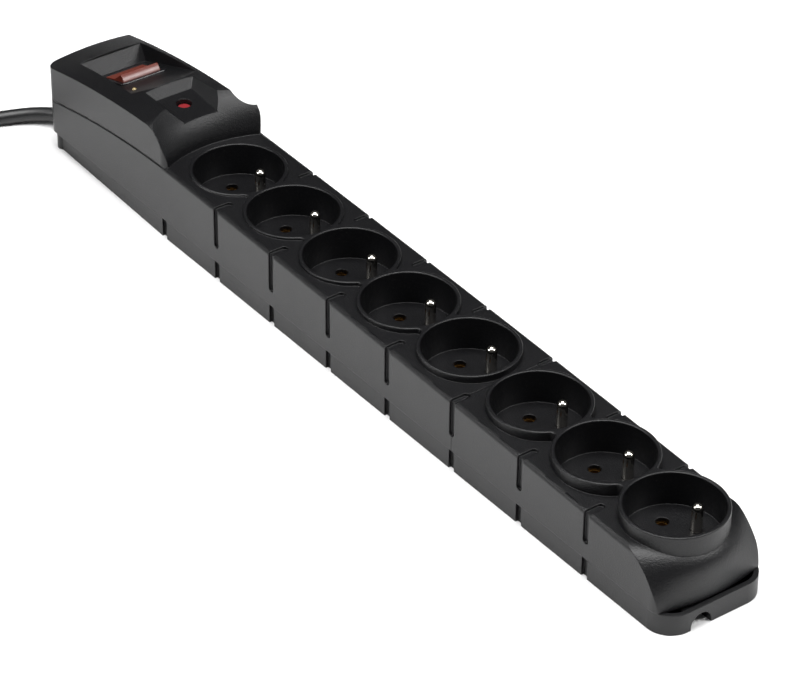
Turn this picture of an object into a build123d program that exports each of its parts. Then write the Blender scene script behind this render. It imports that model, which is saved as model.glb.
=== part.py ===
from build123d import *
import os
from math import asin, atan2, cos, degrees, hypot, pi, radians, sin, sqrt, tan

# Eight-outlet surge-protected power strip, French pattern sockets, millimetres.
# +X runs from the switch head to the far end, +Z is up, and the origin is the
# middle of the underside. Every piece below is its own closed solid.

os.makedirs("parts", exist_ok=True)

# ---------------------------------------------------------------- driving dimensions
outlet_pitch = 42.0
head_outlets = 5            # outlets moulded into the long cover
end_outlets = 3             # outlets moulded into the short end cover
cover_seam = 4.8            # extra distance between outlets 5 and 6, where the covers meet
seam_gap = 0.2
head_length = 118.5         # rear wall to the first outlet
nose_length = 28.7          # last outlet to the front of the base
case_width = 53.0
base_height = 9.5
wall = 2.2
fit_gap = 0.15

deck_rear_height = 37.1
deck_middle_height = 36.0
deck_end_height = 31.4
deck_edge_radius = 1.8
nose_setback = 2.7          # the covers stop this far behind the front of the base
nose_run = 31.0             # how far back the deck's arc ends
# The nose, behind the covers' front: at the middle of the strip, then at its sides.
nose_brow = (13.5, 26.5)    # where the deck starts to fall
nose_cheek = (1.9, 11.0)    # where it has turned over
nose_cheek_height = (25.5, 24.3)
nose_foot = (0.0, 3.8)

rim_height = 37.6
recess_radius = 20.2
collar_wall = 1.8
recess_depth = 15.5
recess_floor = 2.0
waist_radius = 2.0
collar_web = 12.0           # least width of the neck between neighbouring collars
rim_rounding = 0.55

pin_radius = 2.4
pin_offset = 10.0           # earth pin to outlet centre
pin_angle = 76.0            # earth pin direction, from +X
pin_below_rim = 2.9
contact_offset = 9.5        # live and neutral holes to outlet centre
contact_hole_radius = 2.7
contact_bore = 2.35
contact_wall = 0.8

groove_width = 3.4
groove_depth = 1.2
groove_floor_height = 18.5
groove_inward = 7.0

head_arc_radius = 495.0     # the head's top is a shallow arc seen from the side
head_crest = 106.0          # where that arc is level, from the rear wall
head_ridge_height = 54.9
head_crown = 1.2
ridge_half_width = 19.2
head_front = 100.0          # foot of the head's front face, from the rear wall
head_front_lean = 1.6
head_front_radius = 14.0
head_hollow_setback = 6.0   # the hollow front, behind that foot at the middle
head_hollow_radius = 57.0   # how gently it is hollowed, seen from above
head_brow_radius = 21.0     # how it rounds over into the top
scoop_radius = 11.0
lip_drop = 9.5              # side lip, below the ridge
lip_groove_drop = 18.0
lip_groove_radius = 0.7
scoop_front = 86.0

pocket_rear = 14.0          # switch pocket, from the rear wall
pocket_bridge = 63.0        # top of the step between the two pockets
pocket_slope = 0.335
pocket_half_width = 15.6
reset_pocket_half_top = 13.1
reset_pocket_half_floor = 8.9
reset_floor_height = 49.6
reset_step_run = 4.0

base_taper = 2.7            # how much narrower the base is at the rear, each side
base_side_inset = 0.2
base_rear_inset = 1.5
slot_width = 3.6
slot_depth = 1.3
arch_radius = 5.1
arch_height = 6.5
arch_offset = -8.5
arch_length = 12.0

switch_centre = 33.5        # rocker pivot, from the rear wall
rocker_width = 19.6
rocker_length = 14.6
rocker_throw = 22.0         # degrees between its two positions
rocker_gap = 0.4
rocker_pivot_depth = 1.0    # pivot, below the pocket floor
rocker_proud = 1.0          # pressed half, above the pocket floor
trunnion_radius = 1.5
bezel_border = 1.1
bezel_height = 0.7
housing_wall = 1.2
switch_depth = 15.0

reset_centre = 75.4
reset_radius = 3.2
reset_sunk = 1.6
reset_travel = 3.5

screw_radius = 1.5
screw_head_radius = 2.8
screw_head_height = 2.2
screw_length = 16.0
post_radius = 3.5

cord_diameter = 6.6
cord_exit_side = -8.5
cord_exit_height = 6.0
wire_radius = 1.1
wire_bend = 3.0

# ---------------------------------------------------------------- places worked out
half_width = case_width / 2
outlets = head_outlets + end_outlets
strip_length = head_length + (outlets - 1) * outlet_pitch + cover_seam + nose_length
rear = -strip_length / 2
front = strip_length / 2
first_outlet = rear + head_length


def outlet_x(number):
    """Middle of an outlet; the seam widens the step from the fifth to the sixth."""
    past_seam = cover_seam if number > head_outlets else 0.0
    return first_outlet + (number - 1) * outlet_pitch + past_seam


outlet_positions = [outlet_x(n) for n in range(1, outlets + 1)]
seam_x = (outlet_x(head_outlets) + outlet_x(head_outlets + 1)) / 2
# The lines between outlets, from the one behind the first outlet to the last.
boundaries = [first_outlet - outlet_pitch / 2]
boundaries += [(a + b) / 2 for a, b in zip(outlet_positions, outlet_positions[1:])]

collar_radius = recess_radius + collar_wall
recess_top = rim_height - recess_depth
recess_underside = recess_top - recess_floor
cover_front = front - nose_setback
nose_start = cover_front - nose_run

pin_x = pin_offset * cos(radians(pin_angle))
pin_y = pin_offset * sin(radians(pin_angle))
contact_x = contact_offset * sin(radians(pin_angle))
contact_y = contact_offset * cos(radians(pin_angle))

head_axis_height = head_ridge_height - head_arc_radius
head_crest_x = rear + head_crest
head_axis = Axis((head_crest_x, 0, head_axis_height), (0, -1, 0))


def head_station(distance):
    """Cross-section plane of the head at a distance from the rear wall.

    Its sketch coordinates are (y, distance from the head's arc centre)."""
    angle = asin((head_crest - distance) / head_arc_radius)
    centre = (head_crest_x, 0, head_axis_height)
    return Plane(origin=centre, x_dir=(0, 1, 0), z_dir=(cos(angle), 0, sin(angle)))


def ridge_height(distance):
    """Height of the head's ridges at a distance from the rear wall."""
    return head_axis_height + sqrt(head_arc_radius ** 2 - (head_crest - distance) ** 2)


deck_arc = ThreePointArc(
    (rear, deck_rear_height), ((rear + nose_start) / 2, deck_middle_height), (nose_start, deck_end_height))


def deck_height(x):
    """Height of the deck, which falls in a shallow arc towards the far end."""
    return deck_arc.arc_center.Y + sqrt(deck_arc.radius ** 2 - (x - deck_arc.arc_center.X) ** 2)


def deck_face(inset):
    """Side view of the covers under the deck, moved in by a wall on every side."""
    with BuildSketch(Plane.XZ) as view:
        with BuildLine():
            middle = (rear + nose_start) / 2
            deck = ThreePointArc(
                (rear, deck_rear_height), (middle, deck_middle_height), (nose_start, deck_end_height))
            Polyline(deck @ 1, (cover_front, deck_end_height), (cover_front, 0), (rear, 0), deck @ 0)
        make_face()
        if inset > 0:
            offset(amount=-inset, kind=Kind.INTERSECTION)
    return view.sketch


def plan_face(height, inset):
    """Rounded outline of the covers, seen from above."""
    with BuildSketch(Plane.XY.offset(height)) as plan:
        with BuildLine():
            Polyline(
                (rear + inset, -half_width + inset), (cover_front - inset, -half_width + inset),
                (cover_front - inset, half_width - inset), (rear + inset, half_width - inset), close=True)
        make_face()
        fillet(plan.vertices().sort_by(Axis.X)[:2], radius=6.0 - inset)
        fillet(plan.vertices().sort_by(Axis.X)[-2:], radius=7.5 - inset)
    return plan.sketch


def nose_cut(inset):
    """What is taken off the far end to leave its bowed, rounded front."""
    with BuildPart() as cut:
        for side, place in ((-half_width, 1), (0, 0), (half_width, 1)):
            with BuildSketch(Plane(origin=(cover_front - inset, side, -inset), x_dir=(1, 0, 0), z_dir=(0, -1, 0))):
                with BuildLine():
                    face = Spline(
                        (-nose_brow[place], deck_end_height), (-nose_cheek[place], nose_cheek_height[place]),
                        (-nose_foot[place], base_height), tangents=((1, 0), (0.1, -1)))
                    Polyline(face @ 1, (20, base_height), (20, 80), (-nose_brow[place], 80), face @ 0)
                make_face()
        loft()
    return cut.part


# ---------------------------------------------------------------- head of the long cover
# A block with a crowned, gently arched top, a hollow scooped out of each flank
# above a rolled lip, and a rounded front face.
scoop_chord_y = half_width - ridge_half_width
scoop_chord = hypot(scoop_chord_y, lip_drop)
scoop_reach = sqrt(scoop_radius ** 2 - (scoop_chord / 2) ** 2)
scoop_y = (half_width + ridge_half_width) / 2 + scoop_reach * lip_drop / scoop_chord
scoop_arc = head_arc_radius - lip_drop / 2 + scoop_reach * scoop_chord_y / scoop_chord

with BuildPart() as side_scoop:
    with BuildSketch(head_station(scoop_front)):
        with Locations((scoop_y, scoop_arc)):
            Circle(scoop_radius)
    revolve(axis=head_axis, revolution_arc=14)
    with Locations(head_station(scoop_front).from_local_coords((scoop_y, scoop_arc, 0))):
        Sphere(scoop_radius)
    with BuildSketch(head_station(head_front)):
        with Locations((half_width + lip_groove_radius * 0.2, head_arc_radius - lip_groove_drop)):
            Circle(lip_groove_radius)
    revolve(axis=head_axis, revolution_arc=16)
    mirror(about=Plane.XZ)

# The front face is a shallow hollow, seen from above, that rounds over into the top.
hollow_axis_x = rear + head_front - head_hollow_setback + head_hollow_radius
hollow_foot = deck_rear_height - 2
half_turn = head_brow_radius * sin(radians(45))
with BuildPart() as front_hollow:
    with BuildSketch(Plane(origin=(hollow_axis_x, 0, 0), x_dir=(-1, 0, 0), z_dir=(0, 1, 0))):
        with BuildLine():
            brow_centre = head_hollow_radius + head_brow_radius
            face_curve = ThreePointArc(
                (head_hollow_radius, hollow_foot), (brow_centre - half_turn, hollow_foot + half_turn),
                (brow_centre, hollow_foot + head_brow_radius))
            Polyline(
                face_curve @ 1, (brow_centre, 80), (0, 80), (0, 0), (head_hollow_radius, 0), face_curve @ 0)
        make_face()
    revolve(axis=Axis((hollow_axis_x, 0, 0), (0, 0, 1)))

head_span = half_width + 1
with BuildPart() as head_block:
    with BuildSketch(head_station(head_crest + 5)):
        with BuildLine():
            crown = ThreePointArc(
                (-half_width, head_arc_radius - head_crown * (half_width / ridge_half_width) ** 2 + head_crown),
                (0, head_arc_radius + head_crown),
                (half_width, head_arc_radius - head_crown * (half_width / ridge_half_width) ** 2 + head_crown))
            Polyline(crown @ 1, (half_width, head_arc_radius - 70), (-half_width, head_arc_radius - 70), crown @ 0)
        make_face()
    revolve(axis=head_axis, revolution_arc=16)
    with BuildSketch(Plane.XZ):
        with BuildLine():
            Polyline(
                (rear, base_height), (rear, 80), (rear + head_front - head_front_lean, 80),
                (rear + head_front, base_height), close=True)
        make_face()
    extrude(amount=head_span, both=True, mode=Mode.INTERSECT)
    top_front = head_block.faces().sort_by(Axis.Z)[-1].edges().sort_by(Axis.X)[-1]
    fillet(top_front, radius=head_front_radius)
    with BuildSketch(Plane.XY) as head_plan:
        with BuildLine():
            Polyline(
                (rear, -half_width), (rear + head_front, -half_width),
                (rear + head_front, half_width), (rear, half_width), close=True)
        make_face()
        fillet(head_plan.vertices().sort_by(Axis.X)[:2], radius=6.0)
        fillet(head_plan.vertices().sort_by(Axis.X)[-2:], radius=4.0)
    extrude(amount=80, mode=Mode.INTERSECT)
    add(front_hollow.part, mode=Mode.SUBTRACT)

# ---------------------------------------------------------------- both covers together
# The deck and nose with the head on them, the pockets in the head's top and the
# grooves that mark off the outlets. It is solid here and is hollowed further down.
bridge_x = rear + pocket_bridge
bridge_height = ridge_height(pocket_bridge) + head_crown


def pocket_floor(distance):
    """Height of the sloping floor round the rocker, at a distance from the rear wall."""
    return bridge_height - pocket_slope * (pocket_bridge - distance)


with BuildPart() as switch_pocket:
    with BuildSketch(Plane.XZ):
        with BuildLine():
            Polyline(
                (rear + pocket_rear, 80), (rear + pocket_rear, ridge_height(pocket_rear)),
                (rear + pocket_rear + 5, pocket_floor(pocket_rear + 5)), (bridge_x, bridge_height),
                (bridge_x + 20, pocket_floor(pocket_bridge + 20)), (bridge_x + 20, 80), close=True)
        make_face()
    extrude(amount=half_width, both=True)
    with BuildSketch(Plane.YZ.offset(rear)):
        with BuildLine():
            Polyline(
                (-pocket_half_width - 2, 80), (-pocket_half_width - 2, bridge_height + 2),
                (-pocket_half_width + 1, 30), (pocket_half_width - 1, 30),
                (pocket_half_width + 2, bridge_height + 2), (pocket_half_width + 2, 80), close=True)
        make_face()
    extrude(amount=head_length, mode=Mode.INTERSECT)

with BuildPart() as reset_pocket:
    with BuildSketch(Plane.XZ):
        with BuildLine():
            Polyline(
                (rear + head_front + 9, reset_floor_height - 12), (rear + head_front + 9, 80), (bridge_x, 80),
                (bridge_x, bridge_height), (bridge_x + reset_step_run, reset_floor_height + 0.6),
                (rear + head_front - 13, reset_floor_height - 0.3))
            ThreePointArc(
                (rear + head_front - 13, reset_floor_height - 0.3),
                (rear + head_front - 6.5, reset_floor_height - 2.6),
                (rear + head_front - 2.5, reset_floor_height - 12))
            Line((rear + head_front - 2.5, reset_floor_height - 12), (rear + head_front + 9, reset_floor_height - 12))
        make_face()
    extrude(amount=half_width, both=True)
    side_run = reset_pocket_half_top - reset_pocket_half_floor
    side_rise = bridge_height - reset_floor_height
    with BuildSketch(Plane.YZ.offset(rear)):
        with BuildLine():
            Polyline(
                (-reset_pocket_half_floor, 20), (-reset_pocket_half_floor, reset_floor_height),
                (-reset_pocket_half_floor - 2 * side_run, reset_floor_height + 2 * side_rise),
                (reset_pocket_half_floor + 2 * side_run, reset_floor_height + 2 * side_rise),
                (reset_pocket_half_floor, reset_floor_height), (reset_pocket_half_floor, 20), close=True)
        make_face()
    extrude(amount=head_length, mode=Mode.INTERSECT)

with BuildPart() as deck_form:
    extrude(to_extrude=deck_face(0), amount=half_width, both=True)
    deck_edges = deck_form.edges().filter_by(Plane.XZ).filter_by(GeomType.CIRCLE)
    nose_edges = deck_form.edges().filter_by(Axis.X).group_by(Axis.Z)[-1]
    fillet(deck_edges + nose_edges, radius=deck_edge_radius)
    extrude(to_extrude=plan_face(0, 0), amount=80, mode=Mode.INTERSECT)
    add(nose_cut(0), mode=Mode.SUBTRACT)
    with BuildSketch(Plane.XY):
        Rectangle(2 * strip_length, 2 * case_width)
    extrude(amount=base_height, mode=Mode.SUBTRACT)

with BuildPart() as outlet_grooves:
    for boundary in boundaries[1:]:
        with BuildSketch(Plane.XZ.offset(half_width - groove_depth)):
            with Locations((boundary, (groove_floor_height + 60) / 2)):
                SlotCenterToCenter(60 - groove_floor_height, groove_width, rotation=90)
        extrude(amount=groove_depth + 1)
        with BuildSketch(Plane.XY.offset(deck_height(boundary) - groove_depth)):
            with Locations((boundary, -half_width)):
                SlotCenterToCenter(2 * groove_inward, groove_width, rotation=90)
        extrude(amount=20)
    mirror(about=Plane.XZ)

with BuildPart() as case_form:
    add(deck_form.part)
    add(head_block.part)
    add(side_scoop.part, mode=Mode.SUBTRACT)
    add(switch_pocket.part, mode=Mode.SUBTRACT)
    add(reset_pocket.part, mode=Mode.SUBTRACT)

# The room inside, one wall thickness in. Its ceiling in the head follows the pockets.
cavity_shoulder = head_arc_radius - lip_drop - 1.2 * wall
ceiling_flat = rear + pocket_bridge - (bridge_height - 1.1 * wall - reset_floor_height + wall) / pocket_slope

with BuildPart() as head_cavity:
    with BuildSketch(head_station(head_front)):
        with BuildLine():
            Polyline(
                (-half_width + wall, head_arc_radius - 60), (-half_width + wall, cavity_shoulder),
                (-ridge_half_width + 1, cavity_shoulder), (-ridge_half_width + 1, head_arc_radius),
                (ridge_half_width - 1, head_arc_radius), (ridge_half_width - 1, cavity_shoulder),
                (half_width - wall, cavity_shoulder), (half_width - wall, head_arc_radius - 60), close=True)
        make_face()
    revolve(axis=head_axis, revolution_arc=16)
    with BuildSketch(Plane.XZ):
        with BuildLine():
            rear_ceiling = pocket_floor(pocket_rear + 5) - 1.2 * wall
            flat_ceiling = reset_floor_height - 1.2 * wall
            Polyline(
                (rear + wall, wall), (rear + wall, rear_ceiling), (rear + pocket_rear + 5, rear_ceiling),
                (ceiling_flat, flat_ceiling), (rear + head_front - 17, flat_ceiling),
                (rear + head_front - 15, flat_ceiling - 5), (rear + head_front - 12, deck_rear_height - wall),
                (rear + head_front - 12, wall), close=True)
        make_face()
    extrude(amount=half_width, both=True, mode=Mode.INTERSECT)

with BuildPart() as cavity:
    extrude(to_extrude=deck_face(wall), amount=half_width - wall, both=True)
    extrude(to_extrude=plan_face(0, wall), amount=80, mode=Mode.INTERSECT)
    add(nose_cut(wall), mode=Mode.SUBTRACT)
    add(head_cavity.part)

post_y = half_width - wall - post_radius + 0.4
head_post_x = rear + wall + post_radius - 0.4
post_places = [(head_post_x, side * post_y) for side in (-1, 1)]
post_places += [(boundaries[n], side * post_y) for n in (0, 2, 4, 6, 7) for side in (-1, 1)]
screw_seat = 5.5
post_top = deck_end_height - wall

exit_angle = degrees(atan2(4.0, 10.0))
cord_exit = Vector(rear, cord_exit_side, cord_exit_height)
cord_entry = Plane(
    origin=cord_exit, x_dir=(-sin(radians(exit_angle)), cos(radians(exit_angle)), 0),
    z_dir=(cos(radians(exit_angle)), sin(radians(exit_angle)), 0))
outlet_hole_radius = cord_diameter / 2 + 1.5


def collar_chain(places):
    """Outline of a row of collars run together, with the waists between them rounded."""
    with BuildSketch(Plane.XY.offset(recess_underside)) as chain:
        with Locations([(x, 0) for x in places]):
            Circle(collar_radius)
        for near, far in zip(places, places[1:]):
            with Locations(((near + far) / 2, 0)):
                Rectangle(far - near - collar_radius, collar_web)
        fillet(chain.vertices(), radius=waist_radius)
    return chain.sketch


def outlet_row(cover, places):
    """Cut the recesses, pin holes and contact holes of a cover's outlets."""
    with BuildPart() as cutter:
        with BuildSketch(Plane.XY.offset(recess_top)):
            with Locations([(x, 0) for x in places]):
                Circle(recess_radius)
        extrude(amount=60)
        with BuildSketch(Plane.XY.offset(recess_underside - 1)):
            with Locations([(x + pin_x, pin_y) for x in places]):
                Circle(pin_radius + 0.05)
            with Locations([(x + contact_x, -contact_y) for x in places]):
                Circle(contact_hole_radius)
            with Locations([(x - contact_x, contact_y) for x in places]):
                Circle(contact_hole_radius)
        extrude(amount=recess_floor + 2)
    return cover - cutter.part


def cover_shell(start, end, places, posts, seam_wall_x):
    """One cover: the case form between two stations, hollowed, with its outlets and posts."""
    with BuildPart() as cover:
        add(case_form.part)
        add(cavity.part, mode=Mode.SUBTRACT)
        with BuildSketch(Plane.XY) as seam_wall:
            with Locations((seam_wall_x, 0)):
                Rectangle(wall, case_width - 1)
        extrude(amount=deck_end_height - 1)
        with BuildSketch(Plane.XY):
            with Locations(posts):
                Circle(post_radius)
        extrude(amount=post_top)
        with BuildSketch(Plane.XY):
            Rectangle(2 * strip_length, 2 * case_width)
        extrude(amount=base_height, mode=Mode.SUBTRACT)
        with BuildSketch(Plane.XY):
            with Locations((seam_wall_x, 0)):
                Rectangle(2 * wall, case_width - 2 * wall)
        extrude(amount=recess_underside - 2, mode=Mode.SUBTRACT)
        extrude(to_extrude=collar_chain(places), amount=rim_height - recess_underside)
        with BuildSketch(Plane.XY):
            with Locations(posts):
                Circle(screw_radius + 0.05)
        extrude(amount=base_height + screw_length - 3, mode=Mode.SUBTRACT)
        with BuildSketch(Plane.XY):
            with Locations(((start + end) / 2, 0)):
                Rectangle(end - start, 2 * case_width)
        extrude(amount=80, mode=Mode.INTERSECT)
        add(outlet_grooves.part, mode=Mode.SUBTRACT)
    return cover.part


print("forms", case_form.part.is_valid, cavity.part.is_valid, len(case_form.part.solids()))

# ---------------------------------------------------------------- long cover
main_end = seam_x - seam_gap / 2
main_posts = [place for place in post_places if place[0] < seam_x]
rough_main = outlet_row(
    cover_shell(rear - 1, main_end, outlet_positions[:head_outlets], main_posts, main_end - wall / 2),
    outlet_positions[:head_outlets])

# The rocker's own frame: x runs up the pocket's sloping floor, y is the floor's normal.
slope_angle = degrees(atan2(pocket_slope, 1))
slope_x = cos(radians(slope_angle))
slope_z = sin(radians(slope_angle))
switch_section = Plane(
    origin=(rear + switch_centre, 0, pocket_floor(switch_centre)), x_dir=(slope_x, 0, slope_z), z_dir=(0, -1, 0))
switch_floor = Plane(
    origin=(rear + switch_centre, 0, pocket_floor(switch_centre)), x_dir=(slope_x, 0, slope_z),
    z_dir=(-slope_z, 0, slope_x))
half_throw = radians(rocker_throw / 2)
rocker_valley = (rocker_proud + rocker_pivot_depth) / cos(half_throw)
rocker_end_height = rocker_valley + rocker_length / 2 * tan(half_throw)
rocker_sweep = hypot(rocker_length / 2, rocker_end_height)
opening_length = 2 * (rocker_sweep + rocker_gap)
opening_width = rocker_width + 2 * rocker_gap
lamp_x = 54.5
lamp_y = -12.8
lamp_radius = 1.1

with BuildPart() as main_cover:
    add(rough_main)
    with BuildSketch(switch_floor.offset(-8)):
        Rectangle(opening_length + 2 * housing_wall + 0.2, opening_width + 2 * housing_wall + 0.2)
    extrude(amount=12, mode=Mode.SUBTRACT)
    with BuildSketch(Plane.XY.offset(pocket_floor(lamp_x) - 6)):
        with Locations((rear + lamp_x, lamp_y)):
            Circle(lamp_radius + 0.1)
    extrude(amount=12, mode=Mode.SUBTRACT)
    with BuildSketch(Plane.XY.offset(reset_floor_height - 8)):
        with Locations((rear + reset_centre, 0)):
            Circle(reset_radius + rocker_gap)
    extrude(amount=12, mode=Mode.SUBTRACT)
    with BuildSketch(cord_entry.offset(-8)):
        Circle(outlet_hole_radius)
    extrude(amount=16, mode=Mode.SUBTRACT)
    rim = main_cover.faces().filter_by_position(Axis.Z, rim_height - 0.01, rim_height + 0.01)
    fillet(rim.edges(), radius=rim_rounding)

main_cover.part.label = "main_cover"
export_step(main_cover.part, "parts/main_cover.step")
print("main cover", main_cover.part.is_valid, len(main_cover.part.solids()), round(main_cover.part.volume))

# ---------------------------------------------------------------- end cover
end_start = seam_x + seam_gap / 2
end_posts = [place for place in post_places if place[0] > seam_x]
rough_end = outlet_row(
    cover_shell(end_start, front + 1, outlet_positions[head_outlets:], end_posts, end_start + wall / 2),
    outlet_positions[head_outlets:])

with BuildPart() as end_cover:
    add(rough_end)
    # The last collar runs down to the nose, which falls away in front of it.
    with BuildSketch(Plane.XY.offset(base_height + 1)):
        with Locations((outlet_positions[-1], 0)):
            Circle(collar_radius)
            Circle(recess_radius, mode=Mode.SUBTRACT)
        with Locations((outlet_positions[-1] + recess_radius * 0.4 - case_width / 2, 0)):
            Rectangle(case_width, case_width, mode=Mode.SUBTRACT)
    extrude(amount=rim_height - base_height - 1)
    rim = end_cover.faces().filter_by_position(Axis.Z, rim_height - 0.01, rim_height + 0.01)
    fillet(rim.edges(), radius=rim_rounding)

end_cover.part.label = "end_cover"
export_step(end_cover.part, "parts/end_cover.step")
print("end cover", end_cover.part.is_valid, len(end_cover.part.solids()), round(end_cover.part.volume))

# ---------------------------------------------------------------- base
base_half = half_width - base_side_inset
base_rear = rear + base_rear_inset
base_inner = base_half - wall


def base_plan(inset):
    """Outline of the base, narrower under the head, moved in by a wall."""
    with BuildSketch(Plane.XY) as plan:
        with BuildLine():
            Polyline(
                (base_rear, -base_half + base_taper), (boundaries[0], -base_half), (front, -base_half),
                (front, base_half), (boundaries[0], base_half), (base_rear, base_half - base_taper), close=True)
        make_face()
        fillet(plan.vertices().sort_by(Axis.X)[:2], radius=5.0)
        fillet(plan.vertices().sort_by(Axis.X)[-2:], radius=11.0)
        if inset > 0:
            offset(amount=-inset, kind=Kind.INTERSECTION)
    return plan.sketch


live_bar_y = -6.0
neutral_bar_y = 6.0
bar_width = 4.0
bar_height = 8.0
bar_thickness = 1.2
earth_bar_y = pin_y
earth_bar_width = 6.5
earth_bar_height = 14.5
rib_thickness = 2.0

board_start = rear + 24.0
board_length = 40.0
board_half = 15.0
board_height = 12.0
board_thickness = 1.6

clamp_distance = 11.5
clamp_boss_spread = 8.0
clamp_boss_radius = 3.0
clamp_height = cord_exit_height + cord_diameter / 2 + fit_gap
clamp_centre = cord_entry.from_local_coords((0, 0, clamp_distance))
clamp_across = Vector(-sin(radians(exit_angle)), cos(radians(exit_angle)), 0)
clamp_screw_places = [clamp_centre + clamp_across * (side * clamp_boss_spread) for side in (-1, 1)]
clamp_screw_spots = [(spot.X, spot.Y) for spot in clamp_screw_places]
board_corners = [
    (board_start + dx, side * (board_half - 3.0)) for dx in (3.0, board_length - 3.0) for side in (-1, 1)]

with BuildPart() as base:
    extrude(to_extrude=base_plan(0), amount=base_height)
    extrude(to_extrude=base_plan(wall).moved(Location((0, 0, wall))), amount=base_height, mode=Mode.SUBTRACT)
    with BuildSketch(Plane.XY):
        with Locations(post_places):
            Circle(post_radius)
    extrude(amount=base_height)
    # Ribs that carry the three brass strips, one between each pair of outlets.
    for rib_x in boundaries[1:]:
        with BuildSketch(Plane.YZ.offset(rib_x - rib_thickness / 2)):
            with BuildLine():
                rib_outer = live_bar_y - bar_width / 2 - 1.5
                rib_step = neutral_bar_y + bar_width / 2 + 0.6
                rib_end = earth_bar_y + earth_bar_width / 2 + 0.5
                Polyline(
                    (rib_outer, 0), (rib_outer, bar_height), (rib_step, bar_height),
                    (rib_step, earth_bar_height), (rib_end, earth_bar_height), (rib_end, 0), close=True)
            make_face()
        extrude(amount=rib_thickness)
    with BuildSketch(Plane.XY):
        with Locations(board_corners):
            Circle(2.5)
    extrude(amount=board_height)
    with BuildSketch(Plane.XY):
        with Locations(clamp_screw_spots):
            Circle(clamp_boss_radius)
    extrude(amount=clamp_height)
    # Slots in the skirt, at the same stations as the grooves above them.
    for boundary in boundaries:
        for side in (-1, 1):
            with BuildSketch(Plane.XY):
                with Locations((boundary, side * base_half)):
                    Rectangle(slot_width, 2 * slot_depth)
            extrude(amount=base_height, mode=Mode.SUBTRACT)
    # The arched, blanked-off cord outlet in the front end.
    arch_wall = wall * 0.8
    with BuildSketch(Plane.YZ.offset(front - arch_length - arch_wall)):
        with Locations((arch_offset, 0)):
            Rectangle(2 * arch_radius + 2 * arch_wall, 2 * (arch_height + arch_wall))
    extrude(amount=arch_length - wall / 2)
    with BuildSketch(Plane.YZ.offset(front - arch_length)):
        with Locations((arch_offset, arch_height - arch_radius)):
            Circle(arch_radius)
        with Locations((arch_offset, (arch_height - arch_radius) / 2)):
            Rectangle(2 * arch_radius, arch_height - arch_radius)
    extrude(amount=arch_length + 1, mode=Mode.SUBTRACT)
    with BuildSketch(Plane.XY.offset(-20)):
        Rectangle(2 * strip_length, 2 * case_width)
    extrude(amount=20, mode=Mode.SUBTRACT)
    # Screw seats sunk into the underside, and the holes above them.
    with BuildSketch(Plane.XY):
        with Locations(post_places):
            Circle(screw_head_radius + 0.3)
    extrude(amount=screw_seat, mode=Mode.SUBTRACT)
    with BuildSketch(Plane.XY):
        with Locations(post_places):
            Circle(screw_radius + 0.2)
    extrude(amount=base_height + 1, mode=Mode.SUBTRACT)
    with BuildSketch(Plane.XY.offset(wall)):
        with Locations(clamp_screw_spots):
            Circle(0.9)
    extrude(amount=board_height, mode=Mode.SUBTRACT)
    with BuildSketch(cord_entry.offset(-8)):
        Circle(outlet_hole_radius)
    extrude(amount=8 + 5, mode=Mode.SUBTRACT)

base.part.label = "base"
export_step(base.part, "parts/base.step")
print("base", base.part.is_valid, len(base.part.solids()), round(base.part.volume))

# ---------------------------------------------------------------- earth pins and brass strips
pin_foot = earth_bar_height + bar_thickness
pin_top = rim_height - pin_below_rim

for number, outlet in enumerate(outlet_positions, start=1):
    with BuildPart() as earth_pin:
        with BuildSketch(Plane(origin=(outlet + pin_x, pin_y, 0), x_dir=(1, 0, 0), z_dir=(0, -1, 0))):
            with BuildLine():
                body = Polyline(
                    (0, pin_foot - 2.8), (2.6, pin_foot - 2.8), (2.6, earth_bar_height - 0.01),
                    (1.5, earth_bar_height - 0.01), (1.5, pin_foot), (3.6, pin_foot), (3.6, pin_foot + 1.5),
                    (pin_radius, pin_foot + 1.5), (pin_radius, pin_top - pin_radius))
                dome = RadiusArc(body @ 1, (0, pin_top), -pin_radius)
                Line(dome @ 1, body @ 0)
            make_face()
        revolve(axis=Axis((outlet + pin_x, pin_y, 0), (0, 0, 1)))
    earth_pin.part.label = f"earth_pin_{number}"
    export_step(earth_pin.part, f"parts/earth_pin_{number}.step")
print("earth pin", earth_pin.part.is_valid, round(earth_pin.part.volume))

bar_start = outlet_positions[0] - outlet_pitch / 2 - 1.0
bar_end = outlet_positions[-1] + 13.0
contact_bottom = bar_height - 1.0
contact_top = recess_underside - 0.5


def contact_bar(bar_y, contact_side):
    """A brass strip with a round contact under each outlet's hole on one side."""
    places = [(x + contact_side * contact_x, -contact_side * contact_y) for x in outlet_positions]
    with BuildPart() as bar:
        with BuildSketch(Plane.XY.offset(bar_height)):
            with Locations(((bar_start + bar_end) / 2, bar_y)):
                Rectangle(bar_end - bar_start, bar_width)
        extrude(amount=bar_thickness)
        with BuildSketch(Plane.XY.offset(contact_bottom)):
            with Locations(places):
                Circle(contact_bore + contact_wall)
        extrude(amount=contact_top - contact_bottom)
        with BuildSketch(Plane.XY.offset(contact_bottom)):
            with Locations(places):
                Circle(contact_bore)
        extrude(amount=contact_top - contact_bottom, mode=Mode.SUBTRACT)
    return bar.part


with BuildPart() as live_bar:
    add(contact_bar(live_bar_y, 1))
live_bar.part.label = "live_bar"
export_step(live_bar.part, "parts/live_bar.step")

with BuildPart() as neutral_bar:
    add(contact_bar(neutral_bar_y, -1))
neutral_bar.part.label = "neutral_bar"
export_step(neutral_bar.part, "parts/neutral_bar.step")

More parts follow.
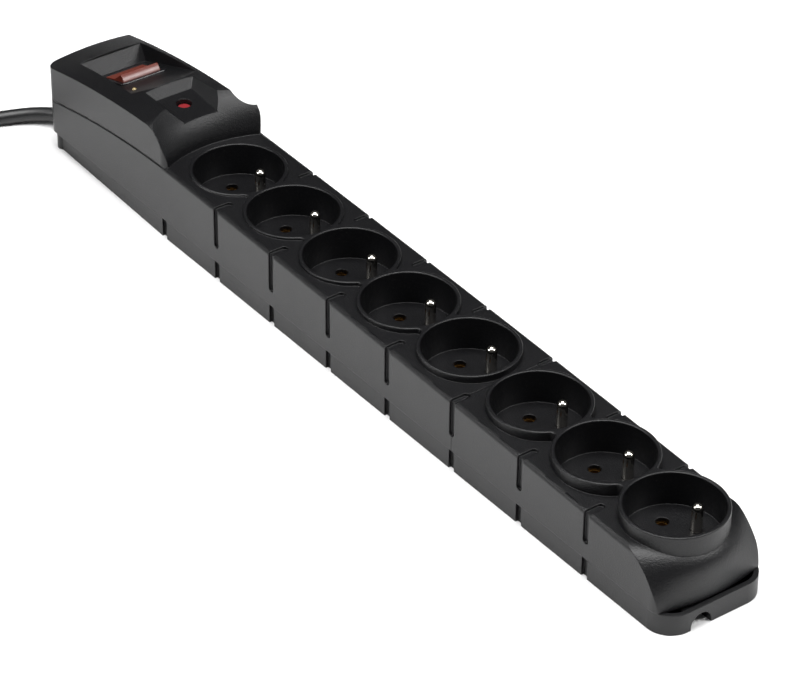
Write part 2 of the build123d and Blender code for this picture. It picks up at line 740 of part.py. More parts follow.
with BuildPart() as earth_bar:
    with BuildSketch(Plane.XY.offset(earth_bar_height)):
        with Locations(((bar_start + bar_end) / 2, earth_bar_y)):
            Rectangle(bar_end - bar_start, earth_bar_width)
        with Locations([(x + pin_x, pin_y) for x in outlet_positions]):
            Circle(1.6, mode=Mode.SUBTRACT)
    extrude(amount=bar_thickness)
earth_bar.part.label = "earth_bar"
export_step(earth_bar.part, "parts/earth_bar.step")
print("bars", live_bar.part.is_valid, neutral_bar.part.is_valid, len(live_bar.part.solids()))

# ---------------------------------------------------------------- mains switch
# The housing drops through the sloping floor; the rocker turns on two trunnions in it.
housing_length = opening_length + 2 * housing_wall
housing_width = opening_width + 2 * housing_wall
rocker_room = rocker_sweep * sin(half_throw) + rocker_end_height * cos(half_throw) + rocker_gap
pivot_floor = switch_floor.offset(-rocker_pivot_depth)
pivot_section = Plane(origin=pivot_floor.origin, x_dir=switch_section.x_dir, z_dir=(0, -1, 0))

with BuildPart() as switch_housing:
    with BuildSketch(switch_floor.offset(-switch_depth)):
        Rectangle(housing_length, housing_width)
    extrude(amount=switch_depth)
    with BuildSketch(switch_floor):
        RectangleRounded(housing_length + 2 * bezel_border, housing_width + 2 * bezel_border, 2.5)
    extrude(amount=bezel_height)
    with BuildSketch(pivot_floor.offset(-rocker_room)):
        RectangleRounded(opening_length, opening_width, 0.6)
    extrude(amount=rocker_room + 5, mode=Mode.SUBTRACT)
    with BuildSketch(pivot_section):
        Circle(trunnion_radius + 0.1)
    extrude(amount=housing_width / 2 - 0.3, both=True, mode=Mode.SUBTRACT)
    bezel_rim = switch_housing.faces().sort_by(Axis((0, 0, 0), tuple(switch_floor.z_dir)))[-1]
    fillet(bezel_rim.outer_wire().edges(), radius=0.4)
switch_housing.part.label = "switch_housing"
export_step(switch_housing.part, "parts/switch_housing.step")

rest_slope = pivot_section.x_dir.rotate(Axis((0, 0, 0), (0, -1, 0)), rocker_throw / 2)
rest_section = Plane(origin=pivot_floor.origin, x_dir=rest_slope, z_dir=(0, -1, 0))
with BuildPart() as rocker:
    with BuildSketch(rest_section):
        with BuildLine():
            half = rocker_length / 2
            top = Polyline((-half, rocker_end_height), (0, rocker_valley), (half, rocker_end_height))
            front_end = ThreePointArc(top @ 1, (rocker_sweep, 0), (half, -rocker_end_height))
            bottom = Line(front_end @ 1, (-half, -rocker_end_height))
            ThreePointArc(bottom @ 1, (-rocker_sweep, 0), top @ 0)
        make_face()
    extrude(amount=rocker_width / 2, both=True)
    with BuildSketch(pivot_section):
        Circle(trunnion_radius)
    extrude(amount=housing_width / 2 - 0.7, both=True)
rocker.part.label = "rocker"
export_step(rocker.part, "parts/rocker.step")

blade_places = [(side * 5.0, 0) for side in (-1, 1)]
blade_length = 6.5
with BuildPart() as switch_terminals:
    with BuildSketch(switch_floor.offset(-switch_depth - blade_length)):
        with Locations(blade_places):
            Rectangle(0.8, 4.8)
    extrude(amount=blade_length)
switch_terminals.part.label = "switch_terminals"
export_step(switch_terminals.part, "parts/switch_terminals.step")
print("switch", switch_housing.part.is_valid, rocker.part.is_valid, round(rocker.part.volume),
      "pivot", tuple(round(v, 4) for v in pivot_floor.origin))

# ---------------------------------------------------------------- overload breaker and its button
reset_x = rear + reset_centre
breaker_top = reset_floor_height - 1.2 * wall - fit_gap
breaker_length = 15.0
breaker_width = 12.0
breaker_bottom = breaker_top - 20.0
button_top = reset_floor_height - reset_sunk
button_length = 8.5
button_bore_depth = breaker_top - (button_top - button_length) + 0.3

with BuildPart() as breaker_body:
    with BuildSketch(Plane.XY.offset(breaker_bottom)):
        with Locations((reset_x, 0)):
            Rectangle(breaker_length, breaker_width)
    extrude(amount=breaker_top - breaker_bottom)
    fillet(breaker_body.edges().filter_by(Axis.Z), radius=1.0)
    with BuildSketch(Plane.XY.offset(breaker_top - button_bore_depth)):
        with Locations((reset_x, 0)):
            Circle(reset_radius + 0.15)
    extrude(amount=button_bore_depth, mode=Mode.SUBTRACT)
breaker_body.part.label = "breaker_body"
export_step(breaker_body.part, "parts/breaker_body.step")

with BuildPart() as reset_button:
    with BuildSketch(Plane.XY.offset(button_top - button_length)):
        with Locations((reset_x, 0)):
            Circle(reset_radius)
    extrude(amount=button_length)
    fillet(reset_button.faces().sort_by(Axis.Z)[-1].edges(), radius=0.8)
reset_button.part.label = "reset_button"
export_step(reset_button.part, "parts/reset_button.step")

breaker_blade_places = [(reset_x - 3.5, 0), (reset_x + 3.5, 0)]
with BuildPart() as breaker_terminals:
    with BuildSketch(Plane.XY.offset(breaker_bottom - blade_length)):
        with Locations(breaker_blade_places):
            Rectangle(0.8, 4.8)
    extrude(amount=blade_length)
breaker_terminals.part.label = "breaker_terminals"
export_step(breaker_terminals.part, "parts/breaker_terminals.step")
print("breaker", breaker_body.part.is_valid, reset_button.part.is_valid, "button top", button_top)

# ---------------------------------------------------------------- surge board
board_top = board_height + board_thickness
with BuildPart() as circuit_board:
    with BuildSketch(Plane.XY.offset(board_height)):
        with Locations((board_start + board_length / 2, 0)):
            Rectangle(board_length, 2 * board_half)
    extrude(amount=board_thickness)
circuit_board.part.label = "circuit_board"
export_step(circuit_board.part, "parts/circuit_board.step")

disc_radius = 7.0
disc_thickness = 4.2
disc_centre = board_top + disc_radius + 1.5
for number in (1, 2, 3):
    disc_x = board_start + 21.0 + 5.5 * number
    with BuildPart() as varistor:
        with BuildSketch(Plane.YZ.offset(disc_x - disc_thickness / 2)):
            with Locations((0, disc_centre)):
                Circle(disc_radius)
        extrude(amount=disc_thickness)
        fillet(varistor.edges(), radius=1.2)
        with BuildSketch(Plane.XY.offset(board_top)):
            with Locations((disc_x, -3.0), (disc_x, 3.0)):
                Circle(0.4)
        extrude(amount=disc_radius)
    varistor.part.label = f"varistor_{number}"
    export_step(varistor.part, f"parts/varistor_{number}.step")
print("varistor", varistor.part.is_valid, len(varistor.part.solids()))

with BuildPart() as filter_capacitor:
    with BuildSketch(Plane.XY.offset(board_top)):
        with Locations((board_start + 5.5, 0)):
            Rectangle(6.5, 18.0)
    extrude(amount=7.0)
    fillet(filter_capacitor.edges().filter_by(Axis.Z), radius=0.8)
filter_capacitor.part.label = "filter_capacitor"
export_step(filter_capacitor.part, "parts/filter_capacitor.step")

fuse_y = board_half - 3.6
fuse_radius = 2.0
fuse_start = board_start + 15.0
with BuildPart() as thermal_fuse:
    with BuildSketch(Plane.YZ.offset(fuse_start)):
        with Locations((fuse_y, board_top + fuse_radius + 0.3)):
            Circle(fuse_radius)
    extrude(amount=12.0)
    with BuildSketch(Plane.XY.offset(board_top)):
        with Locations((fuse_start + 1.0, fuse_y), (fuse_start + 11.0, fuse_y)):
            Circle(0.4)
    extrude(amount=fuse_radius)
thermal_fuse.part.label = "thermal_fuse"
export_step(thermal_fuse.part, "parts/thermal_fuse.step")

lamp_top = pocket_floor(lamp_x) + 0.7
lamp_flange = flat_ceiling - 1.4
with BuildPart() as indicator_lamp:
    with BuildSketch(Plane(origin=(rear + lamp_x, lamp_y, 0), x_dir=(1, 0, 0), z_dir=(0, -1, 0))):
        with BuildLine():
            flank = Polyline(
                (0, lamp_flange), (lamp_radius + 0.4, lamp_flange), (lamp_radius + 0.4, lamp_flange + 1),
                (lamp_radius, lamp_flange + 1), (lamp_radius, lamp_top - lamp_radius))
            dome = RadiusArc(flank @ 1, (0, lamp_top), -lamp_radius)
            Line(dome @ 1, flank @ 0)
        make_face()
    revolve(axis=Axis((rear + lamp_x, lamp_y, 0), (0, 0, 1)))
    with BuildSketch(Plane.XY.offset(board_top)):
        with Locations((rear + lamp_x - 0.9, lamp_y), (rear + lamp_x + 0.9, lamp_y)):
            Circle(0.3)
    extrude(amount=lamp_flange - board_top)
indicator_lamp.part.label = "indicator_lamp"
export_step(indicator_lamp.part, "parts/indicator_lamp.step")
print("board", thermal_fuse.part.is_valid, indicator_lamp.part.is_valid, len(indicator_lamp.part.solids()))

# ---------------------------------------------------------------- cord clamp and fasteners
clamp_plane = Plane(origin=clamp_centre, x_dir=tuple(clamp_across), z_dir=(0, 0, 1))
clamp_bar_thickness = 2.4
with BuildPart() as cord_clamp:
    with BuildSketch(clamp_plane.offset(clamp_height - cord_exit_height)):
        Rectangle(2 * (clamp_boss_spread + 1.8), 7.0)
        with Locations((-clamp_boss_spread, 0), (clamp_boss_spread, 0)):
            Circle(1.0, mode=Mode.SUBTRACT)
    extrude(amount=clamp_bar_thickness)
cord_clamp.part.label = "cord_clamp"
export_step(cord_clamp.part, "parts/cord_clamp.step")

with BuildPart() as clamp_screws:
    with BuildSketch(Plane.XY.offset(clamp_height + clamp_bar_thickness)):
        with Locations(clamp_screw_spots):
            Circle(1.8)
    extrude(amount=1.3)
    with BuildSketch(Plane.XY.offset(clamp_height + clamp_bar_thickness)):
        with Locations(clamp_screw_spots):
            Circle(0.85)
    extrude(amount=-7.0)
clamp_screws.part.label = "clamp_screws"
export_step(clamp_screws.part, "parts/clamp_screws.step")

with BuildPart() as case_screws:
    with BuildSketch(Plane.XY.offset(screw_seat - screw_head_height)):
        with Locations(post_places):
            Circle(screw_head_radius)
    extrude(amount=screw_head_height)
    with BuildSketch(Plane.XY.offset(screw_seat)):
        with Locations(post_places):
            Circle(screw_radius)
    extrude(amount=screw_length)
    with BuildSketch(Plane.XY.offset(screw_seat - screw_head_height)):
        with Locations(post_places):
            Rectangle(3.4, 0.7)
            Rectangle(0.7, 3.4)
    extrude(amount=1.2, mode=Mode.SUBTRACT)
case_screws.part.label = "case_screws"
export_step(case_screws.part, "parts/case_screws.step")
print("fasteners", case_screws.part.is_valid, len(case_screws.part.solids()), clamp_screws.part.is_valid)

# ---------------------------------------------------------------- wiring in the head
stub_length = 20.0
with BuildPart() as cord_inner_end:
    with BuildSketch(cord_entry):
        Circle(cord_diameter / 2)
    extrude(amount=stub_length)
cord_inner_end.part.label = "cord_inner_end"
export_step(cord_inner_end.part, "parts/cord_inner_end.step")

bar_middle = bar_height + bar_thickness / 2
earth_bar_middle = earth_bar_height + bar_thickness / 2
breaker_tip = breaker_bottom - blade_length


def switch_tip(place, distance):
    """A point in line with a switch blade, a distance below its tip."""
    return switch_floor.offset(-switch_depth - blade_length - distance).from_local_coords((place[0], place[1], 0))


def core_start(across, up):
    return cord_entry.from_local_coords((across, up, stub_length))


wire_routes = {
    "earth_core": [
        core_start(1.7, -0.8), Vector(rear + 30, 4.0, 5.2), Vector(rear + 66, 8.0, 5.4),
        Vector(bar_start - 12, earth_bar_y, earth_bar_middle), Vector(bar_start, earth_bar_y, earth_bar_middle)],
    "neutral_core": [
        core_start(0, 1.7), Vector(rear + 30, -0.5, 7.2), Vector(rear + 66, 2.0, 7.0),
        Vector(bar_start - 11, neutral_bar_y, bar_middle), Vector(bar_start, neutral_bar_y, bar_middle)],
    "live_core": [
        core_start(-1.7, -0.8), Vector(rear + 30, -5.5, 5.0), Vector(reset_x - 3.5, -4.0, 5.0),
        Vector(reset_x - 3.5, 0, 12.5), Vector(reset_x - 3.5, 0, breaker_tip)],
    "breaker_link": [
        Vector(reset_x + 3.5, 0, breaker_tip), Vector(reset_x + 3.5, 0, breaker_tip - 6),
        Vector(reset_x - 6, 14.0, 16.5), Vector(rear + 46, 14.0, 18.5),
        switch_tip(blade_places[1], 5.5), switch_tip(blade_places[1], 0)],
    "switched_live": [
        switch_tip(blade_places[0], 0), switch_tip(blade_places[0], 5.0), Vector(rear + 43, -17.0, 17.5),
        Vector(rear + 84, -17.0, 14.0), Vector(bar_start - 8, live_bar_y, bar_middle),
        Vector(bar_start, live_bar_y, bar_middle)],
}
for name, points in wire_routes.items():
    with BuildPart() as wire:
        with BuildLine() as route:
            FilletPolyline(*points, radius=wire_bend)
        with BuildSketch(Plane(origin=route.line @ 0, z_dir=route.line % 0)):
            Circle(wire_radius)
        sweep()
    wire.part.label = name
    export_step(wire.part, f"parts/{name}.step")
    route_length = sum(edge.length for edge in route.edges())
    share = wire.part.volume / (pi * wire_radius ** 2 * route_length)
    print(name, wire.part.is_valid, round(route_length, 1), round(share, 4))

# ---------------------------------------------------------------- power cord, coil and plug
# The cord's points are steps from where it leaves the case, on the floor behind it.
cord_steps = [
    (0, 0, 0), (-10, -4, 0), (-20, -12, -1.2), (-26.5, -22.5, -2.3), (-30.3, -32.8, -2.6),
    (-36.9, -41.6, -2.6), (-45.8, -48.1, -2.6), (-56.2, -51.7, -2.6), (-71, -53.2, -2.6),
    (-90, -53.9, -2.6), (-113, -53.3, -2.6), (-138, -53.7, -2.6)]
coil_middle = (-155.0, -11.0)
coil_radius = 36.0
coil_turns_wide = 3
coil_turns_high = 2
tail_steps = [(-11.0, -41.1, 9.9), (-25.5, -37.2, 9.8), (-41.2, -34.2, 9.4)]


def cord_tube(points):
    """Tube along straight runs joined by arcs as large as the runs allow."""
    radii = []
    for before, corner, after in zip(points, points[1:], points[2:]):
        turn = (corner - before).get_angle(after - corner)
        shorter = min((corner - before).length, (after - corner).length)
        radii.append(0.45 * shorter / tan(radians(turn) / 2))
    with BuildPart() as tube:
        with BuildLine() as route:
            FilletPolyline(*points, radius=radii)
        with BuildSketch(Plane(origin=route.line @ 0, z_dir=route.line % 0)):
            Circle(cord_diameter / 2)
        sweep()
    route_length = sum(edge.length for edge in route.edges())
    share = tube.part.volume / (pi * (cord_diameter / 2) ** 2 * route_length)
    print("cord radii", [round(r) for r in radii], "length", round(route_length, 1), "volume", round(share, 4))
    return tube.part


with BuildPart() as power_cord:
    add(cord_tube([cord_exit + Vector(*step) for step in cord_steps]))
power_cord.part.label = "power_cord"
export_step(power_cord.part, "parts/power_cord.step")

coil_centre = Vector(cord_exit.X + coil_middle[0], cord_exit.Y + coil_middle[1], 0)
coil_half_width = coil_turns_wide * cord_diameter / 2
with BuildPart() as cord_coil:
    with BuildSketch(Plane.XY.offset(0.1)):
        with Locations((coil_centre.X, coil_centre.Y)):
            Circle(coil_radius + coil_half_width)
            Circle(coil_radius - coil_half_width, mode=Mode.SUBTRACT)
    extrude(amount=coil_turns_high * cord_diameter - 0.1)
    fillet(cord_coil.edges(), radius=2.5)
cord_coil.part.label = "cord_coil"
export_step(cord_coil.part, "parts/cord_coil.step")

tail_points = [coil_centre + Vector(*step) for step in tail_steps]
with BuildPart() as cord_tail:
    add(cord_tube(tail_points))
cord_tail.part.label = "cord_tail"
export_step(cord_tail.part, "parts/cord_tail.step")

# The plug lies on its back with its pins up; its neck takes the cord from the side.
plug_radius = 18.3
plug_height = 21.0
plug_neck = 13.0
plug_pin_radius = 2.4
plug_pin_length = 19.0
tail_heading = (tail_points[-1] - tail_points[-2]).normalized()
neck_direction = Vector(tail_heading.X, tail_heading.Y, 0).normalized()
neck_end = tail_points[-1]
plug_centre = Vector(neck_end.X, neck_end.Y, 0) + neck_direction * (plug_radius + plug_neck)
plug_frame = Plane(origin=plug_centre, x_dir=tuple(neck_direction), z_dir=(0, 0, 1))
plug_face = plug_frame.offset(plug_height)

with BuildPart() as plug_body:
    with BuildSketch(plug_frame):
        Circle(plug_radius)
    extrude(amount=plug_height)
    fillet(plug_body.faces().sort_by(Axis.Z)[0].edges(), radius=2.5)
    with BuildSketch(Plane(origin=neck_end, z_dir=tuple(neck_direction))):
        Circle(cord_diameter / 2 + 2.2)
    extrude(amount=plug_neck + 6)
    with BuildSketch(plug_face):
        with Locations((pin_offset, 0)):
            Circle(pin_radius + 0.2)
    extrude(amount=-16.0, mode=Mode.SUBTRACT)
    with BuildSketch(plug_face):
        with Locations((0, -plug_radius), (0, plug_radius)):
            Rectangle(7.0, 4.0)
    extrude(amount=-16.0, mode=Mode.SUBTRACT)
plug_body.part.label = "plug_body"
export_step(plug_body.part, "parts/plug_body.step")

with BuildPart() as plug_pins:
    with BuildSketch(plug_face):
        with Locations((0, -contact_offset), (0, contact_offset)):
            Circle(plug_pin_radius)
    extrude(amount=plug_pin_length)
    fillet(plug_pins.faces().sort_by(Axis.Z)[-2:].edges(), radius=1.2)
plug_pins.part.label = "plug_pins"
export_step(plug_pins.part, "parts/plug_pins.step")

with BuildPart() as plug_earth_clips:
    with BuildSketch(plug_face.offset(-16.0)):
        with Locations((0, -plug_radius + 1.3), (0, plug_radius - 1.3)):
            Rectangle(4.5, 0.8)
    extrude(amount=14.5)
plug_earth_clips.part.label = "plug_earth_clips"
export_step(plug_earth_clips.part, "parts/plug_earth_clips.step")
print("plug", plug_body.part.is_valid, plug_pins.part.is_valid, len(plug_pins.part.solids()),
      [round(v, 1) for v in plug_centre])
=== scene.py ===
from math import cos, radians, sin

import bmesh
import bpy
from mathutils import Matrix, Vector


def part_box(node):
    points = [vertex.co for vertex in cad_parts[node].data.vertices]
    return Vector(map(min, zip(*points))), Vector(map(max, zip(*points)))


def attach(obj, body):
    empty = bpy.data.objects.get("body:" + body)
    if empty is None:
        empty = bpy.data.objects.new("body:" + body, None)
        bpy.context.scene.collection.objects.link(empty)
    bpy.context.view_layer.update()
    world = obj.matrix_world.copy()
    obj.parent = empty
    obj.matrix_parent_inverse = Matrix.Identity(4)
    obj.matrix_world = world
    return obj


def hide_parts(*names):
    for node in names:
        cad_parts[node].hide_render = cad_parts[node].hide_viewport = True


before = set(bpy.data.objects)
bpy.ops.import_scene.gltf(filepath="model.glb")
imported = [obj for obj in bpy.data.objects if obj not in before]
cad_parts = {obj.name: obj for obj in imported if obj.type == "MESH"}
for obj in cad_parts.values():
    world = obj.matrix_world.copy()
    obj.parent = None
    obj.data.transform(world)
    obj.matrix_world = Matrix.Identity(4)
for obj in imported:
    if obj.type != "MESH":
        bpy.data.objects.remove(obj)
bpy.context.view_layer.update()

mm = 0.001

# ---------------------------------------------------------------- camera
# The strip runs from the far left to the near right, seen from above its far end.
view_azimuth = radians(53.30)
view_elevation = radians(34.84)
view_roll = radians(0.635)
view_distance = 1502.1 * mm
view_target = Vector((15.8, 0.0, 12.7)) * mm

towards_camera = Vector((
    sin(view_azimuth) * cos(view_elevation),
    -cos(view_azimuth) * cos(view_elevation),
    sin(view_elevation)))
level_right = Vector((cos(view_azimuth), sin(view_azimuth), 0))
level_up = towards_camera.cross(level_right)
camera_right = level_right * cos(view_roll) + level_up * sin(view_roll)
camera_up = level_up * cos(view_roll) - level_right * sin(view_roll)

camera_data = bpy.data.cameras.new("camera")
camera_data.lens = 160.03
camera_data.sensor_width = 36
camera_data.clip_start = 0.05
camera_data.clip_end = 20
camera = bpy.data.objects.new("camera", camera_data)
camera.matrix_world = Matrix.Translation(view_target + towards_camera * view_distance) @ Matrix(
    (camera_right, camera_up, towards_camera)).transposed().to_4x4()
bpy.context.collection.objects.link(camera)
bpy.context.scene.camera = camera


# ---------------------------------------------------------------- shader helpers
def linear(code):
    """Linear colour of an sRGB hex value."""
    channels = [int(code[place:place + 2], 16) / 255 for place in (1, 3, 5)]
    return tuple(c / 12.92 if c <= 0.04045 else ((c + 0.055) / 1.055) ** 2.4 for c in channels) + (1.0,)


def add_node(tree, kind, links=(), **settings):
    """Add a shader node, set its values and sockets, and link its inputs."""
    node = tree.nodes.new(kind)
    for name, value in settings.items():
        if hasattr(node, name):
            setattr(node, name, value)
        else:
            node.inputs[name.replace("_", " ").title()].default_value = value
    for socket, source in dict(links).items():
        tree.links.new(source, node.inputs[socket])
    return node


def new_material(name):
    """A material with an empty tree, its surface shader and its output."""
    material = bpy.data.materials.new(name)
    material.use_nodes = True
    tree = material.node_tree
    tree.nodes.clear()
    shader = add_node(tree, "ShaderNodeBsdfPrincipled")
    add_node(tree, "ShaderNodeOutputMaterial", {"Surface": shader.outputs["BSDF"]})
    return material, tree, shader


# ---------------------------------------------------------------- power cord
# A round mains lead in a soft black jacket. It leaves the head through its rear wall, drops to the floor
# and is wound flat, three turns wide and two high, up to its plug.
# Plasticised PVC: nearly black, a soft waxy sheen and a faint orange-peel from the extruder.
pvc_ripple = 1.6 * mm
jacket, tree, shader = new_material("soft_pvc_jacket")
shader.inputs["Base Color"].default_value = linear("#171718")
shader.inputs["IOR"].default_value = 1.52
place = add_node(tree, "ShaderNodeTexCoord")
ripple = add_node(
    tree, "ShaderNodeTexNoise", {"Vector": place.outputs["Object"]}, scale=1 / pvc_ripple, detail=2.0)
sheen = add_node(
    tree, "ShaderNodeMapRange", {"Value": ripple.outputs["Fac"]}, to_min=0.34, to_max=0.46)
relief = add_node(
    tree, "ShaderNodeBump", {"Height": ripple.outputs["Fac"]}, strength=0.15, distance=0.05 * mm)
tree.links.new(sheen.outputs["Result"], shader.inputs["Roughness"])
tree.links.new(relief.outputs["Normal"], shader.inputs["Normal"])

cord_diameter = 6.6 * mm
cord_exit_side = -8.5 * mm
cord_exit_height = 6.0 * mm
case_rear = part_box("main_cover")[0][0]
cord_exit = Vector((case_rear, cord_exit_side, cord_exit_height))
cord_steps = [
    (0, 0, 0), (-10, -4, 0), (-20, -12, -1.2), (-26.5, -22.5, -2.3), (-30.3, -32.8, -2.6),
    (-36.9, -41.6, -2.6), (-45.8, -48.1, -2.6), (-56.2, -51.7, -2.6), (-71, -53.2, -2.6),
    (-90, -53.9, -2.6), (-113, -53.3, -2.6), (-138, -53.7, -2.6)]
route = [cord_exit + Vector(step) * mm for step in cord_steps]

coil_behind_exit = 155.0 * mm
coil_beside_exit = 11.0 * mm
coil_centre = Vector((cord_exit.x - coil_behind_exit, cord_exit.y - coil_beside_exit, 0))
turn_radii = [42.6 * mm, 36.0 * mm, 29.4 * mm]
layer_heights = [3.4 * mm, 9.9 * mm]
turn_step = 20  # degrees between two points of a turn
# Start and end angle of each stretch of the coil in degrees, then its radius and its height at both ends.
outer, middle, inner = turn_radii
low, high = layer_heights
stretches = [
    (290, 570, outer, outer, low, low), (570, 630, outer, middle, low, low),
    (630, 930, middle, middle, low, low), (930, 990, middle, inner, low, low),
    (990, 1230, inner, inner, low, low), (1230, 1290, inner, inner, low, high),
    (1290, 1530, inner, inner, high, high), (1530, 1590, inner, middle, high, high),
    (1590, 1890, middle, middle, high, high), (1890, 1950, middle, outer, high, high),
    (1950, 2070, outer, outer, high, high)]
# A smooth line runs a little inside its points, so they stand that much further out.
point_share = 1 / cos(radians(turn_step / 2))
for start, stop, radius_start, radius_stop, height_start, height_stop in stretches:
    for angle in range(start, stop, turn_step):
        share = (angle - start) / (stop - start)
        radius = (radius_start + (radius_stop - radius_start) * share) * point_share
        height = height_start + (height_stop - height_start) * share
        route.append(coil_centre + Vector((
            -radius * cos(radians(angle)), radius * sin(radians(angle)), height)))
tail_steps = [(-11.0, -41.1, 9.9), (-25.5, -37.2, 9.8), (-41.2, -34.2, 9.4)]
route += [coil_centre + Vector(step) * mm for step in tail_steps]

cord_curve = bpy.data.curves.new("cord", "CURVE")
cord_curve.dimensions = "3D"
cord_curve.bevel_depth = cord_diameter / 2
cord_curve.bevel_resolution = 5
cord_curve.use_fill_caps = True
cord_line = cord_curve.splines.new("NURBS")
cord_line.points.add(len(route) - 1)
for point, spot in zip(cord_line.points, route):
    point.co = (*spot, 1)
cord_line.order_u = 3
cord_line.use_endpoint_u = True
cord_line.resolution_u = 6
cord = bpy.data.objects.new("power_lead", cord_curve)
bpy.context.collection.objects.link(cord)
cord.data.materials.append(jacket)
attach(cord, "case")
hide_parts("power_cord", "cord_coil", "cord_tail")


# ---------------------------------------------------------------- upper shells, base and plug
# Black moulded ABS. A fine even grain takes the gloss off it, its gloss drifts a little over broad patches,
# and every outer corner is slightly rounded.
gloss_patch = 18 * mm
gloss_drift = 0.04
grain_strength = 0.5


def moulded_abs(name, colour, roughness, grain, grain_depth, edge):
    """Grained black plastic with softened edges; sizes in metres."""
    material, tree, shader = new_material(name)
    shader.inputs["Base Color"].default_value = linear(colour)
    shader.inputs["IOR"].default_value = 1.53
    shader.inputs["Specular IOR Level"].default_value = 0.36
    place = add_node(tree, "ShaderNodeTexCoord")
    texture = add_node(
        tree, "ShaderNodeTexNoise", {"Vector": place.outputs["Object"]}, scale=1 / grain, detail=3.0,
        roughness=0.6)
    patches = add_node(
        tree, "ShaderNodeTexNoise", {"Vector": place.outputs["Object"]}, scale=1 / gloss_patch, detail=4.0)
    gloss = add_node(
        tree, "ShaderNodeMapRange", {"Value": patches.outputs["Fac"]}, to_min=roughness - gloss_drift,
        to_max=roughness + gloss_drift)
    soft_edge = add_node(tree, "ShaderNodeBevel", samples=6, radius=edge)
    relief = add_node(
        tree, "ShaderNodeBump", {"Height": texture.outputs["Fac"], "Normal": soft_edge.outputs["Normal"]},
        strength=grain_strength, distance=grain_depth)
    tree.links.new(gloss.outputs["Result"], shader.inputs["Roughness"])
    tree.links.new(relief.outputs["Normal"], shader.inputs["Normal"])
    return material


def finish_node(name, material):
    """Give a CAD node its material."""
    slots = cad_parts[name].data.materials
    slots.clear()
    slots.append(material)


grained_abs = moulded_abs("grained_black_abs", "#09090b", 0.37, 0.6 * mm, 0.30 * mm, 0.6 * mm)
base_abs = moulded_abs("plain_black_abs", "#09090b", 0.40, 0.5 * mm, 0.18 * mm, 0.4 * mm)
for shell in ("main_cover", "end_cover"):
    finish_node(shell, grained_abs)
finish_node("base", base_abs)
finish_node("plug_body", moulded_abs("plug_pvc", "#171719", 0.38, 0.6 * mm, 0.03 * mm, 0.8 * mm))


# ---------------------------------------------------------------- earth pins and plug pins
# Nickel-plated brass: warm silver, with fine marks round the pin.
def plain_metal(name, colour, roughness, mark):
    """Metal with fine marks that break up its gloss; mark is their spacing in metres."""
    material, tree, shader = new_material(name)
    shader.inputs["Base Color"].default_value = linear(colour)
    shader.inputs["Metallic"].default_value = 1.0
    place = add_node(tree, "ShaderNodeTexCoord")
    stretch = add_node(tree, "ShaderNodeMapping", {"Vector": place.outputs["Object"]})
    stretch.inputs["Scale"].default_value = (0.1, 0.1, 1.0)
    marks = add_node(
        tree, "ShaderNodeTexNoise", {"Vector": stretch.outputs["Vector"]}, scale=1 / mark, detail=2.0)
    gloss = add_node(
        tree, "ShaderNodeMapRange", {"Value": marks.outputs["Fac"]}, to_min=roughness * 0.7,
        to_max=roughness * 1.4)
    tree.links.new(gloss.outputs["Result"], shader.inputs["Roughness"])
    return material


nickel_plate = plain_metal("nickel_plated_brass", "#d3cfc7", 0.14, 0.3 * mm)
outlets = 8
for number in range(1, outlets + 1):
    finish_node(f"earth_pin_{number}", nickel_plate)
finish_node("plug_pins", nickel_plate)

# ---------------------------------------------------------------- contacts, terminals and screws
# Stamped brass strip, dull from handling, and zinc-plated steel screws driven into the posts.
stamped_brass = plain_metal("stamped_brass", "#8a6534", 0.42, 0.5 * mm)
for name in ("live_bar", "neutral_bar", "earth_bar", "switch_terminals", "breaker_terminals",
             "plug_earth_clips"):
    finish_node(name, stamped_brass)
zinc_plate = plain_metal("zinc_plated_steel", "#a9adb3", 0.32, 0.4 * mm)
for name in ("case_screws", "clamp_screws"):
    finish_node(name, zinc_plate)


# ---------------------------------------------------------------- switch, reset button and lamp
# The rocker is tinted plastic that lets a little light through. Housing, button and lamp lens are smoother
# than the case.
flow_mark = 4 * mm
moulded_edge = 0.4 * mm


def glossy_moulding(name, colour, roughness, through=0.0):
    """Smooth moulded plastic; through is how much light passes it."""
    material, tree, shader = new_material(name)
    shader.inputs["Base Color"].default_value = linear(colour)
    shader.inputs["IOR"].default_value = 1.58
    shader.inputs["Transmission Weight"].default_value = through
    place = add_node(tree, "ShaderNodeTexCoord")
    flow = add_node(
        tree, "ShaderNodeTexNoise", {"Vector": place.outputs["Object"]}, scale=1 / flow_mark, detail=3.0)
    gloss = add_node(
        tree, "ShaderNodeMapRange", {"Value": flow.outputs["Fac"]}, to_min=roughness * 0.8,
        to_max=roughness * 1.3)
    soft_edge = add_node(tree, "ShaderNodeBevel", samples=6, radius=moulded_edge)
    tree.links.new(gloss.outputs["Result"], shader.inputs["Roughness"])
    tree.links.new(soft_edge.outputs["Normal"], shader.inputs["Normal"])
    return material


finish_node("rocker", glossy_moulding("tinted_polycarbonate", "#6b2a1c", 0.30, 0.25))
finish_node("switch_housing", glossy_moulding("polished_black_nylon", "#141416", 0.18))
finish_node("reset_button", glossy_moulding("red_abs", "#7d1c22", 0.38))
finish_node("indicator_lamp", glossy_moulding("amber_lamp_lens", "#c9b27a", 0.2, 0.5))

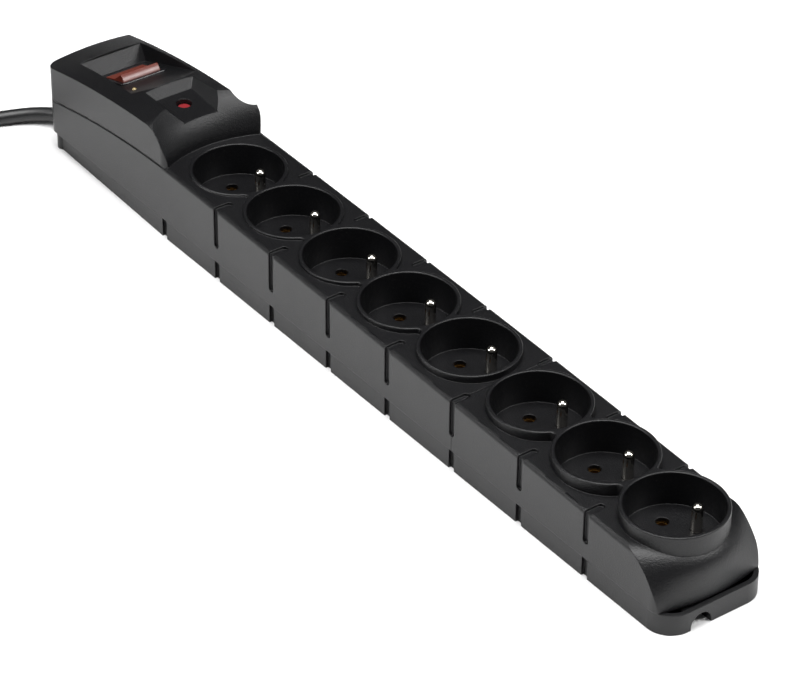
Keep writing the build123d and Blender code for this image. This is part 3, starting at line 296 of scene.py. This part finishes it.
# ---------------------------------------------------------------- parts inside the case
# Board, coated discs, capacitor, breaker and the plastic-covered cores that join them.
finish_node("breaker_body", glossy_moulding("breaker_phenolic", "#1d1b1a", 0.45))
finish_node("circuit_board", glossy_moulding("green_solder_mask", "#1f5b33", 0.35))
for number in (1, 2, 3):
    finish_node(f"varistor_{number}", glossy_moulding("blue_epoxy_coat", "#24478c", 0.35))
finish_node("filter_capacitor", glossy_moulding("yellow_capacitor_case", "#d0a331", 0.3))
finish_node("thermal_fuse", glossy_moulding("fuse_ceramic", "#d9d6cc", 0.4))
finish_node("cord_clamp", glossy_moulding("black_nylon", "#202022", 0.45))
finish_node("cord_inner_end", jacket)
core_colours = {
    "earth_core": "#4d8a2c", "neutral_core": "#2452a0", "live_core": "#5b3420", "breaker_link": "#5b3420",
    "switched_live": "#5b3420"}
for name, colour in core_colours.items():
    finish_node(name, glossy_moulding(f"{name}_pvc", colour, 0.4))

# ---------------------------------------------------------------- floor and light
# A white table top under large soft lamps.
table_size = 12.0
table_shape = bmesh.new()
bmesh.ops.create_grid(table_shape, x_segments=1, y_segments=1, size=table_size / 2)
table_mesh = bpy.data.meshes.new("table_top")
table_shape.to_mesh(table_mesh)
table_shape.free()
table_top = bpy.data.objects.new("table_top", table_mesh)
bpy.context.collection.objects.link(table_top)
table_paint, tree, shader = new_material("white_laminate")
shader.inputs["Base Color"].default_value = linear("#f4f4f4")
shader.inputs["Roughness"].default_value = 0.7
table_mesh.materials.append(table_paint)


def soft_lamp(name, place, aim, size, power):
    """A square lamp with a soft edge, aimed at a point; place and aim in metres."""
    lamp_data = bpy.data.lights.new(name, "AREA")
    lamp_data.shape = "RECTANGLE"
    lamp_data.size = size[0]
    lamp_data.size_y = size[1]
    lamp_data.energy = power
    lamp = bpy.data.objects.new(name, lamp_data)
    lamp.location = place
    lamp.rotation_euler = (Vector(aim) - Vector(place)).to_track_quat("-Z", "Y").to_euler()
    bpy.context.collection.objects.link(lamp)


soft_lamp("overhead", (0.1, -0.1, 1.8), (0, 0, 0), (1.4, 1.4), 52)
soft_lamp("side", (-0.6, -1.5, 1.2), (0, 0, 0), (0.6, 0.6), 16)
soft_lamp("far_end", (1.25, 0.95, 1.3), (0.1, 0, 0), (0.6, 0.6), 20)

world = bpy.data.worlds.new("studio")
world.use_nodes = True
world.node_tree.nodes["Background"].inputs["Color"].default_value = linear("#ffffff")
world.node_tree.nodes["Background"].inputs["Strength"].default_value = 0.06
bpy.context.scene.world = world
bpy.context.scene.view_settings.view_transform = "Standard"
